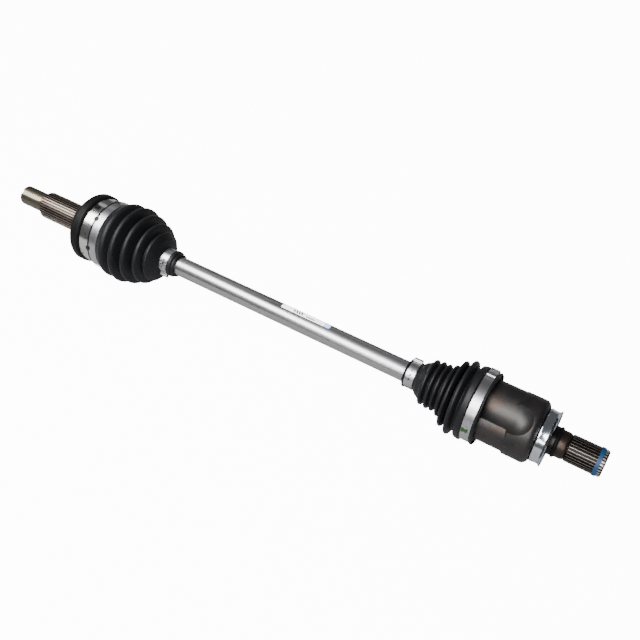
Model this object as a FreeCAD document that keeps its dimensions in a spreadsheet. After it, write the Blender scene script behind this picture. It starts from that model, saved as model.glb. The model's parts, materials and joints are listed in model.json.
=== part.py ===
import FreeCAD, Part
import math
import os

import Sketcher

# CV axle: the drive shaft between a gearbox and a steered wheel.
# Millimetres. X runs along the axle, from the wheel (-X) to the gearbox (+X), and Z is up.
# The origin is on the axis, at the shoulder that the wheel hub's bearing seats against.

doc = FreeCAD.newDocument("cv_axle")
sheet = doc.addObject("Spreadsheet::Sheet", "Sizes")

# Driving dimensions. Places along the axle end in _x, and radii end in _rad.
SIZES = {
    # wheel stub: thread, staking slot, spline, pilot
    "thread_end_x": -105.0, "thread_stop_x": -70.4, "thread_rad": 12.0, "thread_pitch": 2.0,
    "thread_chamfer": 1.6, "thread_depth": 1.1,
    "slot_width": 5.6, "slot_floor_rad": 8.6, "slot_length": 31.6, "slot_turn": 28.0,
    "slot_reach": 6.0,
    "hub_spline_start_x": -69.6, "hub_spline_full_x": -66.0, "hub_spline_stop_x": -14.0,
    "hub_spline_rad": 16.75, "hub_spline_root_rad": 15.35, "hub_spline_teeth": 33.0,
    "hub_gap_top": 2.15, "hub_gap_root": 1.1,
    "spline_lead_in": 0.9, "pilot_start_x": -10.0, "pilot_chamfer": 1.5, "pilot_rad": 17.6,
    "hub_face_rad": 29.4, "race_shoulder_x": 6.0,
    # outboard ball joint
    "ball_joint_x": 32.0, "ball_circle_rad": 26.5, "ball_rad": 7.54, "ball_count": 6.0,
    "track_rad": 8.5, "race_bore_rad": 29.75, "race_floor_x": 6.0, "race_mouth_x": 46.5,
    "race_seat_rad": 35.8, "race_rad": 39.5, "race_boot_rad": 38.2, "race_band_x": 20.6,
    "race_boot_x": 35.9, "mouth_chamfer": 1.6, "mouth_bevel_rise": 3.0,
    "band_edge": 0.6, "track_closed_angle": 48.0, "track_sweep": 112.0,
    "cage_outer_rad": 29.5, "cage_inner_rad": 24.65, "cage_half_width": 13.5,
    "window_half_width": 7.6, "window_half_length": 9.2,
    "inner_race_rad": 24.35, "inner_race_half_width": 11.5,
    # shaft
    "shaft_rad": 11.25, "shaft_end_rad": 9.5, "shaft_end_chamfer": 0.9, "bore_gap": 0.02,
    "shaft_start_x": 17.6, "shaft_stop_x": 542.4, "shaft_taper": 8.0,
    "outboard_taper_x": 61.0, "inboard_taper_x": 483.0,
    "ring_groove_depth": 0.9, "ring_width": 1.6, "ring_rad": 11.2,
    # shaft label
    "label_x": 279.0, "label_length": 61.0, "label_width": 13.0, "label_thickness": 0.15,
    "label_turn": -13.0,
    # dust deflector on the race
    "deflector_x": 3.0, "deflector_stop_x": 19.8, "deflector_rad": 42.0,
    "deflector_front_rad": 36.2, "deflector_rim_x": 7.6, "deflector_back_round": 3.4,
    # boots and clamps
    "boot_wall": 2.0, "boot_gap": 0.3, "boot_neck_rad": 14.2,
    "outboard_clamp_x": 36.9, "outboard_clamp_width": 10.2, "outboard_seat_rad": 40.5,
    "outboard_neck_clamp_x": 119.6, "neck_clamp_width": 10.0, "inboard_neck_clamp_x": 436.7,
    "inboard_clamp_x": 510.9, "inboard_clamp_width": 9.8, "inboard_seat_rad": 36.8,
    "band_thickness": 0.8, "ear_rad": 2.7, "ear_bore_rad": 1.95,
    "outboard_ear_turn": 127.0, "inboard_ear_turn": -33.0, "inboard_clamp_ear_turn": -50.0,
    "outboard_clamp_ear_turn": 143.0,
    # inboard tripod joint
    "tripod_x": 530.0, "trunnion_circle_rad": 19.5, "trunnion_head_rad": 8.6,
    "trunnion_neck_rad": 6.4, "trunnion_end_rad": 24.4, "spider_hub_rad": 13.3,
    "spider_half_width": 7.5,
    "roller_rad": 14.5, "roller_bore_rad": 12.26, "roller_width": 11.0,
    "inner_ring_rad": 10.6, "inner_ring_bore_rad": 9.05, "needle_rad": 0.8,
    "needle_count": 40.0, "needle_length": 9.6,
    "housing_mouth_x": 510.0, "housing_rad": 33.3, "housing_bore_rad": 20.4,
    "housing_floor_x": 566.0, "track_half_width": 14.62, "track_top_rad": 26.4,
    "valley_rad": 24.9, "valley_floor_rad": 24.6, "valley_stop_x": 575.0,
    "valley_end_round": 20.0, "lobe_stop_x": 554.0, "lobe_rad": 24.0, "lobe_offset": 9.3, "runout_x": 545.0,
    "runout_start_rad": 26.0,
    "housing_chamfer_x": 572.5, "housing_end_x": 578.0, "housing_end_rad": 28.6,
    "mouth_bevel": 2.4, "adapter_x": 510.6, "adapter_stop_x": 522.6, "adapter_rad": 35.3,
    # gearbox stub: dust shield, journals, seal ring, spline, circlip and its protector
    "shield_x": 578.2, "shield_stop_x": 589.8, "shield_rad": 27.95, "shield_waist_rad": 27.4,
    "shield_lip_rad": 29.5, "shield_wall": 1.2, "shield_round": 2.2, "shield_hub_rise": 1.2,
    "shield_hub_width": 4.0,
    "journal_rad": 14.9, "seal_ring_x": 594.2,
    "seal_ring_stop_x": 598.0, "seal_ring_rad": 15.9, "seal_groove_rad": 13.9,
    "second_journal_rad": 14.1, "second_journal_stop_x": 604.0, "gear_spline_x": 607.0,
    "gear_spline_rad": 14.0, "gear_spline_root_rad": 12.75, "gear_spline_teeth": 28.0,
    "gear_gap_top": 2.05, "gear_gap_root": 1.0,
    "clip_groove_x": 636.0, "clip_groove_width": 2.2, "clip_groove_rad": 12.1,
    "clip_wire_rad": 0.85, "protector_x": 635.4, "protector_width": 3.8,
    "protector_wall": 0.7, "stub_end_x": 643.6, "stub_chamfer": 1.5,
}
for row, (alias, size) in enumerate(SIZES.items(), start=1):
    sheet.set(f"A{row}", alias)
    sheet.set(f"B{row}", str(size))
    sheet.setAlias(f"B{row}", alias)
doc.recompute()


class Size:
    """A length worked out from the sheet: its formula, and its value for a first drawing."""

    def __init__(self, formula, value):
        self.formula = formula
        self.value = value

    def __add__(self, other):
        other = as_size(other)
        return Size(f"({self.formula} + {other.formula})", self.value + other.value)

    def __sub__(self, other):
        other = as_size(other)
        return Size(f"({self.formula} - {other.formula})", self.value - other.value)

    def __mul__(self, factor):
        return Size(f"({self.formula} * {factor})", self.value * factor)


def as_size(number):
    return number if isinstance(number, Size) else Size(str(float(number)), float(number))


def on_circle(radius, offset):
    """How high a circle of this radius stands at this distance beside its centre."""
    radius, offset = as_size(radius), as_size(offset)
    value = math.sqrt(radius.value ** 2 - offset.value ** 2)
    return Size(f"sqrt({radius.formula} ^ 2 - {offset.formula} ^ 2)", value)


class Sizes:
    """The sheet's cells by name, as sizes."""

    def __getattr__(self, alias):
        return Size(f"Sizes.{alias}", SIZES[alias])


S = Sizes()
X_AXIS = FreeCAD.Vector(1, 0, 0)
ORIGIN = FreeCAD.Vector(0, 0, 0)
nodes = {}


def bind(feature, **properties):
    """Ties a feature's sizes to the sheet."""
    for name, size in properties.items():
        feature.setExpression(name, as_size(size).formula)
    return feature


def at(feature, x, y=0.0, z=0.0, rotation=None):
    """Puts a feature at a place whose x comes from the sheet."""
    x = as_size(x)
    feature.Placement = FreeCAD.Placement(FreeCAD.Vector(x.value, y, z), rotation or FreeCAD.Rotation())
    feature.setExpression("Placement.Base.x", x.formula)
    return feature


def turned_about_x(degrees):
    return FreeCAD.Rotation(X_AXIS, degrees)


def radial(degrees, radius):
    """The y and z of a point this far from the axis; the angle runs from +Z towards -Y."""
    angle = math.radians(degrees)
    return -radius * math.sin(angle), radius * math.cos(angle)


def part(kind, name, **properties):
    return bind(doc.addObject(f"Part::{kind}", name), **properties)


def cut(name, base, tools):
    """The base less the tools."""
    tool = tools[0]
    if len(tools) > 1:
        tool = doc.addObject("Part::MultiFuse", name + "_tools")
        tool.Shapes = tools
    feature = doc.addObject("Part::Cut", name)
    feature.Base = base
    feature.Tool = tool
    return feature


def fuse(name, shapes):
    feature = doc.addObject("Part::MultiFuse", name)
    feature.Shapes = shapes
    return feature


def common(name, shapes):
    feature = doc.addObject("Part::MultiCommon", name)
    feature.Shapes = shapes
    return feature


def node(name, feature):
    """Names a finished piece: the name is its label and its file."""
    feature.Label = name
    nodes[name] = feature
    return feature


def origin_plane(body, role):
    return next(item for item in body.Origin.OriginFeatures if item.Role == role)


def draw(sketch, outline):
    """Draws a closed outline of corners (across, up), or (across, up, radius) where an arc
    of that radius starts. A positive radius bends to the left of the way it runs."""
    corners = [[as_size(number) for number in corner] for corner in outline]
    points = [FreeCAD.Vector(corner[0].value, corner[1].value, 0) for corner in corners]
    ends = []
    rules = []
    radii = []
    for i, corner in enumerate(corners):
        start, stop = points[i], points[(i + 1) % len(points)]
        if len(corner) == 2:
            sketch.addGeometry(Part.LineSegment(start, stop), False)
            ends.append((1, 2))
            continue
        radius = corner[2].value
        half = (stop - start) * 0.5
        sagitta = abs(radius) - math.sqrt(max(radius ** 2 - half.Length ** 2, 0.0))
        side = FreeCAD.Vector(-half.y, half.x, 0).normalize() * math.copysign(sagitta, radius)
        middle = start + half + side
        if radius < 0:
            sketch.addGeometry(Part.Arc(start, middle, stop), False)
            ends.append((1, 2))
        else:
            sketch.addGeometry(Part.Arc(stop, middle, start), False)
            ends.append((2, 1))
        radii.append((i, corner[2]))
    for i, corner in enumerate(corners):
        follower = (i + 1) % len(corners)
        rules.append((Sketcher.Constraint("Coincident", i, ends[i][1], follower, ends[follower][0]), None))
        for way, size in (("DistanceX", corner[0]), ("DistanceY", corner[1])):
            rules.append((Sketcher.Constraint(way, -1, 1, i, ends[i][0], size.value), size))
    for i, size in radii:
        size = size if size.value > 0 else size * -1
        rules.append((Sketcher.Constraint("Radius", i, size.value), size))
    sketch.addConstraint([rule for rule, size in rules])
    for index, (rule, size) in enumerate(rules):
        if size is not None:
            sketch.setExpression(f"Constraints[{index}]", size.formula)


def lathe(name, outline):
    """A turned piece: a PartDesign body whose (x, radius) outline goes round the X axis."""
    body = doc.addObject("PartDesign::Body", name + "_body")
    sketch = body.newObject("Sketcher::SketchObject", name + "_outline")
    sketch.AttachmentSupport = (origin_plane(body, "XZ_Plane"), [""])
    sketch.MapMode = "FlatFace"
    draw(sketch, outline)
    turning = body.newObject("PartDesign::Revolution", name + "_turning")
    turning.Profile = sketch
    turning.ReferenceAxis = (sketch, ["H_Axis"])
    turning.Angle = 360
    sketch.Visibility = False
    body.Tip = turning
    return body


def cut_teeth(body, name, start_x, stop_x, outer, root, top_width, root_width, teeth):
    """Cuts a spline into a turned body: one tooth gap, patterned round the axis."""
    doc.recompute()
    sketch = body.newObject("Sketcher::SketchObject", name + "_gap")
    sketch.AttachmentSupport = (origin_plane(body, "YZ_Plane"), [""])
    sketch.MapMode = "FlatFace"
    sketch.setExpression("AttachmentOffset.Base.z", start_x.formula)
    overshoot = 0.4
    draw(sketch, [
        (top_width * -0.5, outer + overshoot), (root_width * -0.5, root),
        (root_width * 0.5, root), (top_width * 0.5, outer + overshoot),
    ])
    gap = body.newObject("PartDesign::Pocket", name + "_pocket")
    gap.Profile = sketch
    gap.Reversed = True
    bind(gap, Length=stop_x - start_x)
    doc.recompute()
    pattern = body.newObject("PartDesign::PolarPattern", name + "_teeth")
    pattern.Originals = [gap]
    pattern.Axis = (origin_plane(body, "X_Axis"), [""])
    pattern.Angle = 360
    bind(pattern, Occurrences=teeth)
    body.Tip = pattern
    doc.recompute()


def ring(name, start_x, stop_x, inner, outer):
    """A plain ring of square section."""
    return lathe(name, [(start_x, inner), (start_x, outer), (stop_x, outer), (stop_x, inner)])


# --- Shaft -----------------------------------------------------------------------------------

def build_shaft():
    """The bar, thinner at both ends, with a groove for the ring that holds each joint on."""
    end = S.shaft_end_rad
    groove = end - S.ring_groove_depth
    outboard_ring_x = S.ball_joint_x - S.inner_race_half_width - S.ring_width
    inboard_ring_x = S.tripod_x + S.spider_half_width
    node("axle_shaft", lathe("shaft", [
        (S.shaft_start_x, 0), (S.shaft_start_x, end - S.shaft_end_chamfer),
        (S.shaft_start_x + S.shaft_end_chamfer, end), (outboard_ring_x, end),
        (outboard_ring_x, groove), (outboard_ring_x + S.ring_width, groove),
        (outboard_ring_x + S.ring_width, end), (S.outboard_taper_x, end),
        (S.outboard_taper_x + S.shaft_taper, S.shaft_rad), (S.inboard_taper_x, S.shaft_rad),
        (S.inboard_taper_x + S.shaft_taper, end), (inboard_ring_x, end),
        (inboard_ring_x, groove), (inboard_ring_x + S.ring_width, groove),
        (inboard_ring_x + S.ring_width, end), (S.shaft_stop_x - S.shaft_end_chamfer, end),
        (S.shaft_stop_x, end - S.shaft_end_chamfer), (S.shaft_stop_x, 0),
    ]))
    for name, start_x in (("inner_race_circlip", outboard_ring_x), ("spider_circlip", inboard_ring_x)):
        node(name, ring(name, start_x, start_x + S.ring_width, groove + S.bore_gap, S.ring_rad))


def build_label():
    """A thin label with round ends, wrapped on the bar."""
    length, width, thickness = S.label_length, S.label_width, S.label_thickness
    wrap = ring("label_wrap", S.label_x, S.label_x + length, S.shaft_rad, S.shaft_rad + thickness)
    turn = turned_about_x(SIZES["label_turn"])
    across = turn.multVec(FreeCAD.Vector(0, -SIZES["label_width"] / 2, 0))
    middle = part("Box", "label_middle", Length=length - width, Width=width, Height=S.shaft_rad * 2)
    at(middle, S.label_x + width * 0.5, across.y, across.z, turn)
    ends = [middle]
    for name, end_x in (("label_left", S.label_x + width * 0.5),
                        ("label_right", S.label_x + length - width * 0.5)):
        end = part("Cylinder", name, Radius=width * 0.5, Height=S.shaft_rad * 2)
        ends.append(at(end, end_x, 0, 0, turn))
    node("shaft_label", common("label", [wrap, fuse("label_outline", ends)]))


# --- Outboard ball joint ---------------------------------------------------------------------

def ball_angles():
    count = int(SIZES["ball_count"])
    return [360.0 * i / count for i in range(count)]


def build_inner_race():
    """The inner race: a ball with a splined bore, and a curved track for each drive ball."""
    centre, half = S.ball_joint_x, S.inner_race_half_width
    bore = S.shaft_end_rad + S.bore_gap
    shoulder = on_circle(S.inner_race_rad, half)
    blank = lathe("inner_race", [
        (centre - half, bore), (centre - half, shoulder, S.inner_race_rad),
        (centre + half, shoulder), (centre + half, bore),
    ])
    tracks = []
    for i, angle in enumerate(ball_angles()[:len(ball_angles()) // 2]):
        track = part("Torus", f"inner_track_{i + 1}", Radius1=S.ball_circle_rad, Radius2=S.track_rad)
        lay_in_plane_of_x = FreeCAD.Rotation(X_AXIS, 90)
        tracks.append(at(track, centre, 0, 0, turned_about_x(angle).multiply(lay_in_plane_of_x)))
    node("outboard_inner_race", cut("inner_race_cut", blank, tracks))


def build_cage_and_balls():
    """The cage that keeps the balls in the plane that halves the joint's angle."""
    centre, half = S.ball_joint_x, S.cage_half_width
    outer, inner = S.cage_outer_rad, S.cage_inner_rad
    blank = lathe("cage", [
        (centre - half, on_circle(inner, half)), (centre - half, on_circle(outer, half), outer),
        (centre + half, on_circle(outer, half)), (centre + half, on_circle(inner, half), inner * -1),
    ])
    windows = []
    across, reach = SIZES["window_half_length"], 2 * SIZES["cage_outer_rad"]
    for i, angle in enumerate(ball_angles()):
        turn = turned_about_x(angle)
        corner = turn.multVec(FreeCAD.Vector(0, -across, 0))
        window = part("Box", f"window_{i + 1}", Length=S.window_half_width * 2,
                      Width=S.window_half_length * 2, Height=reach)
        windows.append(at(window, centre - S.window_half_width, corner.y, corner.z, turn))
    node("ball_cage", cut("cage_cut", blank, windows))
    for i, angle in enumerate(ball_angles()):
        ball = part("Sphere", f"ball_{i + 1}", Radius=S.ball_rad)
        node(f"drive_ball_{i + 1}", at(ball, centre, *radial(angle, SIZES["ball_circle_rad"])))


def thread_groove(name, start_x, stop_x, radius, depth, pitch):
    """A V-shaped ridge wound on a helix, to be cut from a cylinder along +X."""
    length = stop_x - start_x
    helix = Part.makeHelix(pitch, length, radius)
    half = 0.46 * pitch
    outside = 0.3
    tip = FreeCAD.Vector(radius - depth, 0, 0)
    low = FreeCAD.Vector(radius + outside, 0, -half)
    high = FreeCAD.Vector(radius + outside, 0, half)
    section = Part.makePolygon([tip, low, high, tip])
    groove = Part.Wire(helix.Edges).makePipeShell([section], True, True)
    feature = doc.addObject("Part::Feature", name)
    feature.Shape = groove
    feature.Placement = FreeCAD.Placement(
        FreeCAD.Vector(start_x, 0, 0), FreeCAD.Rotation(FreeCAD.Vector(0, 1, 0), 90))
    return feature


def build_race_and_stub():
    """The outer race, forged in one with the splined and threaded wheel stub."""
    centre = S.ball_joint_x
    bore_at_floor = on_circle(S.race_bore_rad, centre - S.race_floor_x)
    mouth_in_x = S.race_mouth_x - S.mouth_chamfer
    bore_at_mouth = on_circle(S.race_bore_rad, mouth_in_x - centre)
    blank = lathe("race", [
        (S.thread_end_x, 0), (S.thread_end_x, S.thread_rad - S.thread_chamfer),
        (S.thread_end_x + S.thread_chamfer, S.thread_rad), (S.thread_stop_x, S.thread_rad),
        (S.hub_spline_start_x, S.thread_rad + S.spline_lead_in), (S.hub_spline_full_x, S.hub_spline_rad),
        (S.hub_spline_stop_x, S.hub_spline_rad), (S.pilot_start_x, S.hub_spline_root_rad),
        (S.pilot_start_x + S.pilot_chamfer, S.pilot_rad), (0, S.pilot_rad), (0, S.hub_face_rad),
        (S.race_shoulder_x, S.race_seat_rad), (S.race_band_x, S.race_seat_rad),
        (S.race_band_x, S.race_rad - S.band_edge), (S.race_band_x + S.band_edge, S.race_rad),
        (S.race_boot_x, S.race_rad), (S.race_boot_x, S.race_boot_rad),
        (S.race_mouth_x, S.race_boot_rad), (S.race_mouth_x, bore_at_mouth + S.mouth_bevel_rise),
        (mouth_in_x, bore_at_mouth, S.race_bore_rad * -1), (S.race_floor_x, bore_at_floor),
        (S.race_floor_x, 0),
    ])
    cut_teeth(blank, "hub_spline", S.hub_spline_start_x, S.pilot_start_x, S.hub_spline_rad,
              S.hub_spline_root_rad, S.hub_gap_top, S.hub_gap_root, S.hub_spline_teeth)
    tracks = []
    closed_end, sweep = SIZES["track_closed_angle"], SIZES["track_sweep"]
    for i, angle in enumerate(ball_angles()):
        track = part("Torus", f"outer_track_{i + 1}", Radius1=S.ball_circle_rad, Radius2=S.track_rad)
        track.Angle3 = sweep
        lay = FreeCAD.Rotation(X_AXIS, 90)
        start = FreeCAD.Rotation(FreeCAD.Vector(0, 1, 0), -90 - closed_end + sweep)
        tracks.append(at(track, centre, 0, 0, turned_about_x(angle).multiply(start).multiply(lay)))
    slot_turn = turned_about_x(SIZES["slot_turn"])
    side = slot_turn.multVec(FreeCAD.Vector(0, -SIZES["slot_width"] / 2, SIZES["slot_floor_rad"]))
    slot = part("Box", "slot", Length=S.slot_length + 1, Width=S.slot_width, Height=S.slot_reach)
    at(slot, S.thread_end_x - 1, side.y, side.z, slot_turn)
    slot_end = part("Cylinder", "slot_end", Radius=S.slot_width * 0.5, Height=S.slot_reach)
    at(slot_end, S.thread_end_x + S.slot_length, *radial(SIZES["slot_turn"], SIZES["slot_floor_rad"]),
       slot_turn)
    thread = thread_groove("thread_groove", SIZES["thread_end_x"] - SIZES["thread_pitch"],
                           SIZES["thread_stop_x"] - SIZES["thread_pitch"], SIZES["thread_rad"],
                           SIZES["thread_depth"], SIZES["thread_pitch"])
    threaded = cut("race_threaded", blank, [thread])
    node("outboard_race_stub", cut("race_cut", threaded, tracks + [slot, slot_end]))


def build_dust_deflector():
    """A fat rubber-covered ring pressed on the back of the race. Its front slopes up to a rim,
    and a shallow groove sets the rim off."""
    x, stop_x, outer = S.deflector_x, S.deflector_stop_x, S.deflector_rad
    seat = S.race_seat_rad + S.bore_gap
    groove, lip = 0.5, 1.3
    rim_x, back_round = S.deflector_rim_x, S.deflector_back_round
    node("dust_deflector", lathe("deflector", [
        (S.race_shoulder_x, seat), (x + groove, seat - 2.3), (x, seat - 1.8),
        (x, S.deflector_front_rad), (rim_x, outer - lip), (rim_x + groove, outer - lip - groove),
        (rim_x + groove * 2, outer - lip), (rim_x + groove * 2 + lip, outer),
        (stop_x - back_round, outer, back_round), (stop_x, outer - back_round), (stop_x, seat),
    ]))


# --- Boots and clamps ------------------------------------------------------------------------

def boot(name, straight_end, folds, neck):
    """A moulded boot: its wall follows a smooth curve through the crests and roots of its
    folds, between a straight big end and a straight neck. All are (x, radius) points."""
    wall = SIZES["boot_wall"]

    def edge_through(points):
        curve = Part.BSplineCurve()
        curve.interpolate([FreeCAD.Vector(x, 0, radius) for x, radius in points])
        return curve.toShape()

    def straight(points):
        return [Part.makeLine(FreeCAD.Vector(a[0], 0, a[1]), FreeCAD.Vector(b[0], 0, b[1]))
                for a, b in zip(points, points[1:])]

    (start_x, start_in, start_out), (seat_x, seat_in, seat_out) = straight_end
    (neck_x, neck_in, neck_out), (stop_x, stop_in, stop_out) = neck
    outer = [(seat_x, seat_out)] + folds + [(neck_x, neck_out)]
    inner = [(seat_x, seat_in)] + [(x, radius - wall) for x, radius in folds] + [(neck_x, neck_in)]
    edges = straight([(start_x, start_out), (seat_x, seat_out)]) + [edge_through(outer)]
    edges += straight([(neck_x, neck_out), (stop_x, stop_out), (stop_x, stop_in), (neck_x, neck_in)])
    edges += [edge_through(inner)]
    edges += straight([(seat_x, seat_in), (start_x, start_in), (start_x, start_out)])
    profile = Part.Face(Part.Wire(Part.__sortEdges__(edges)))
    feature = doc.addObject("Part::Feature", name)
    feature.Shape = profile.revolve(ORIGIN, X_AXIS, 360)
    node(name, feature)


def build_outboard_boot():
    """Four deep folds that shrink towards the shaft, then a plain cone."""
    seat_in = SIZES["race_boot_rad"] + 0.05
    seat_out = SIZES["outboard_seat_rad"]
    neck_in = SIZES["shaft_rad"] + SIZES["boot_gap"]
    neck_out = SIZES["boot_neck_rad"]
    boot("outboard_boot",
         [(SIZES["race_boot_x"] + 0.1, seat_in, seat_out), (48.9, seat_in, seat_out)],
         [(53.6, 43.0), (58.4, 45.0), (65.2, 37.8), (72.4, 44.0), (79.6, 34.6), (86.7, 40.5),
          (93.6, 29.6), (100.0, 35.7), (106.2, 25.6), (110.0, 29.2), (113.6, 24.0)],
         [(119.0, neck_in, neck_out), (138.6, neck_in, neck_out - 0.4)])


def build_inboard_boot():
    """Four small folds by the shaft and two large ones by the joint."""
    seat_in = SIZES["adapter_rad"] + 0.05
    seat_out = SIZES["inboard_seat_rad"]
    neck_in = SIZES["shaft_rad"] + SIZES["boot_gap"]
    neck_out = SIZES["boot_neck_rad"]
    boot("inboard_boot",
         [(524.3, seat_in, seat_out + 0.6), (509.6, seat_in, seat_out + 0.6)],
         [(506.0, 39.4), (500.6, 33.4), (495.4, 39.2), (491.0, 29.4), (486.9, 34.5), (483.4, 24.0),
          (479.9, 27.3), (476.2, 21.2), (472.5, 25.05), (469.3, 21.0), (466.3, 24.75),
          (462.8, 20.6), (459.3, 24.6), (454.6, 18.2)],
         [(449.4, neck_in, neck_out), (434.0, neck_in, neck_out - 0.4)])


def clamp(name, start_x, width, seat_radius, ear_turn):
    """A steel band clamp; its ear is the pinched loop that draws the band tight."""
    inner = seat_radius + 0.05
    outer = inner + S.band_thickness
    band = ring(name + "_band", start_x, start_x + width, inner, outer)
    out_by = outer.value + SIZES["ear_bore_rad"] * 0.75
    lie_along_x = turned_about_x(ear_turn).multiply(FreeCAD.Rotation(FreeCAD.Vector(0, 1, 0), 90))
    rounds = []
    for step, radius in (("ear", S.ear_rad), ("ear_bore", S.ear_bore_rad)):
        round_bar = part("Cylinder", f"{name}_{step}", Radius=radius, Height=width)
        rounds.append(at(round_bar, start_x, *radial(ear_turn, out_by), lie_along_x))
    inside = part("Cylinder", name + "_inside", Radius=inner, Height=width)
    at(inside, start_x, 0, 0, FreeCAD.Rotation(FreeCAD.Vector(0, 1, 0), 90))
    node(name, cut(name + "_cut", fuse(name + "_closed", [band, rounds[0]]), [rounds[1], inside]))


def build_clamps():
    clamp("outboard_large_clamp", S.outboard_clamp_x, S.outboard_clamp_width,
          S.outboard_seat_rad, SIZES["outboard_clamp_ear_turn"])
    clamp("outboard_small_clamp", S.outboard_neck_clamp_x, S.neck_clamp_width,
          S.boot_neck_rad + S.boot_gap, SIZES["outboard_ear_turn"])
    clamp("inboard_small_clamp", S.inboard_neck_clamp_x, S.neck_clamp_width,
          S.boot_neck_rad + S.boot_gap, SIZES["inboard_ear_turn"])
    clamp("inboard_large_clamp", S.inboard_clamp_x, S.inboard_clamp_width,
          S.inboard_seat_rad + 0.6, SIZES["inboard_clamp_ear_turn"])


# --- Inboard tripod joint --------------------------------------------------------------------

TRUNNION_TURNS = [90.0, -30.0, -150.0]


def along_trunnion(feature, turn, distance):
    """Lays a feature's own Z along a trunnion, starting this far out from the axis."""
    return at(feature, S.tripod_x, *radial(turn, distance), turned_about_x(turn))


def build_spider():
    """Three round-headed trunnions on one hub."""
    centre, half = S.tripod_x, S.spider_half_width
    shoulder = on_circle(S.spider_hub_rad, half)
    bore = S.shaft_end_rad + S.bore_gap
    hub = lathe("spider_hub", [
        (centre - half, bore), (centre - half, shoulder, S.spider_hub_rad),
        (centre + half, shoulder), (centre + half, bore),
    ])
    solids = [hub]
    for i, turn in enumerate(TRUNNION_TURNS):
        neck = part("Cylinder", f"trunnion_neck_{i + 1}", Radius=S.trunnion_neck_rad,
                    Height=S.trunnion_circle_rad - 11)
        head = part("Sphere", f"trunnion_ball_{i + 1}", Radius=S.trunnion_head_rad)
        reach = part("Cylinder", f"trunnion_reach_{i + 1}", Radius=S.trunnion_head_rad + 1,
                     Height=S.trunnion_end_rad - 14.2)
        solids.append(along_trunnion(neck, turn, 11))
        head = along_trunnion(head, turn, SIZES["trunnion_circle_rad"])
        solids.append(common(f"trunnion_head_{i + 1}", [head, along_trunnion(reach, turn, 14.2)]))
    node("tripod_spider", fuse("spider", solids))


def build_rollers():
    """On each trunnion an inner ring, a row of needles and an outer roller."""
    start = SIZES["trunnion_circle_rad"] - SIZES["roller_width"] / 2
    needle_circle = (SIZES["inner_ring_rad"] + SIZES["roller_bore_rad"]) / 2
    for i, turn in enumerate(TRUNNION_TURNS):
        for name, inner, outer in ((f"inner_ring_{i + 1}", S.inner_ring_bore_rad, S.inner_ring_rad),
                                   (f"outer_roller_{i + 1}", S.roller_bore_rad, S.roller_rad)):
            drum = part("Cylinder", name + "_drum", Radius=outer, Height=S.roller_width)
            hole = part("Cylinder", name + "_hole", Radius=inner, Height=S.roller_width)
            tube = cut(name + "_tube", along_trunnion(drum, turn, start),
                       [along_trunnion(hole, turn, start)])
            node(name, tube)
        needle = Part.makeCylinder(SIZES["needle_rad"], SIZES["needle_length"])
        needles = []
        for step in range(int(SIZES["needle_count"])):
            angle = 2 * math.pi * step / SIZES["needle_count"]
            place = FreeCAD.Vector(needle_circle * math.cos(angle), needle_circle * math.sin(angle), 0)
            needles.append(needle.translated(place))
        row = doc.addObject("Part::Feature", f"needle_row_{i + 1}")
        row.Shape = Part.makeCompound(needles)
        inset = (SIZES["roller_width"] - SIZES["needle_length"]) / 2
        row.Placement = FreeCAD.Placement(
            FreeCAD.Vector(SIZES["tripod_x"], *radial(turn, start + inset)), turned_about_x(turn))
        node(f"needle_rollers_{i + 1}", row)


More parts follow.
